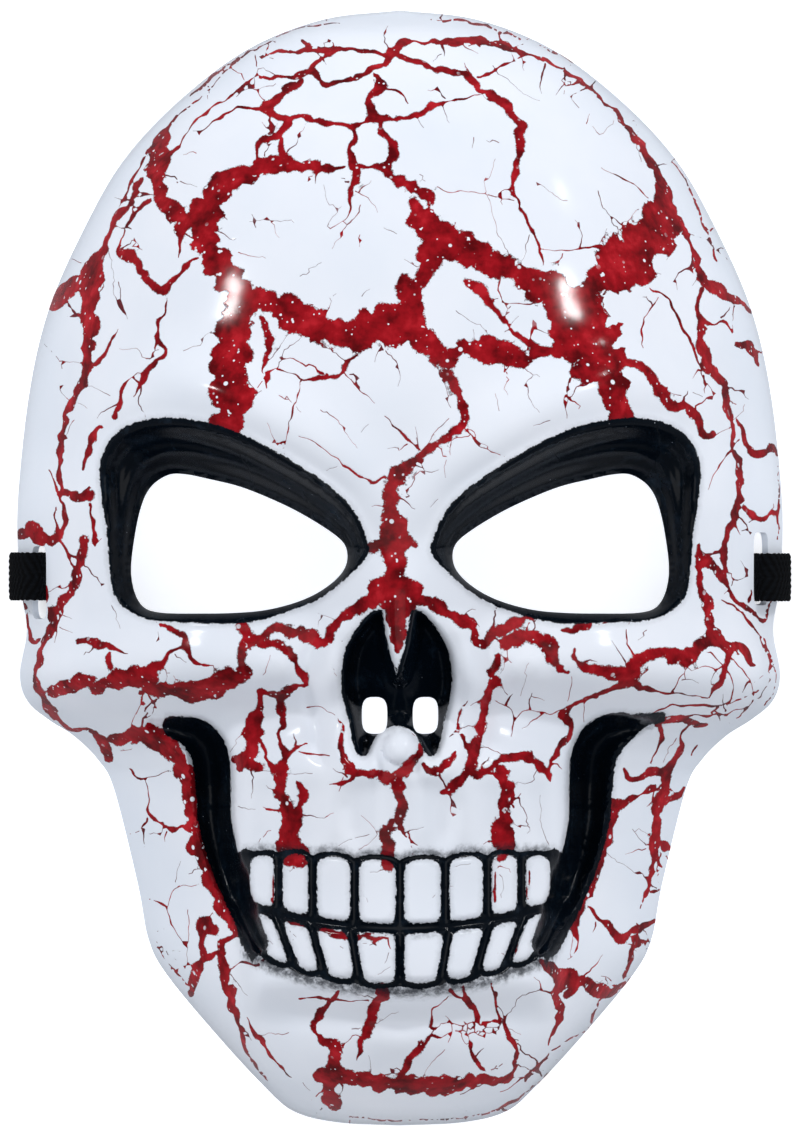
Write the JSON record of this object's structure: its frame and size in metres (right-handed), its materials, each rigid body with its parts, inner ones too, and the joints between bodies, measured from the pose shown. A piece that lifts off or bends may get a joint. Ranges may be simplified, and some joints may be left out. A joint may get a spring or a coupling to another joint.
{
  "type": "skull mask",
  "caption": "Full-face skull mask: a thin glossy moulded shell with open eyes and nostrils, held by a flat elastic strap looped through two temple slots.",
  "frame": {"origin": "on the floor plane under the middle of the shell, which lies face up on its rim", "axes": "+Z is the way the face looks, +Y towards the crown, +X towards the wearer's left temple"},
  "size_m": [0.1766, 0.252, 0.0755],
  "materials": {
    "shell": "gloss",
    "elastic": "matte"
  },
  "bodies": {
    "root": {"mask_shell": "shell", "elastic_strap": "elastic"}
  },
  "joints": []
}
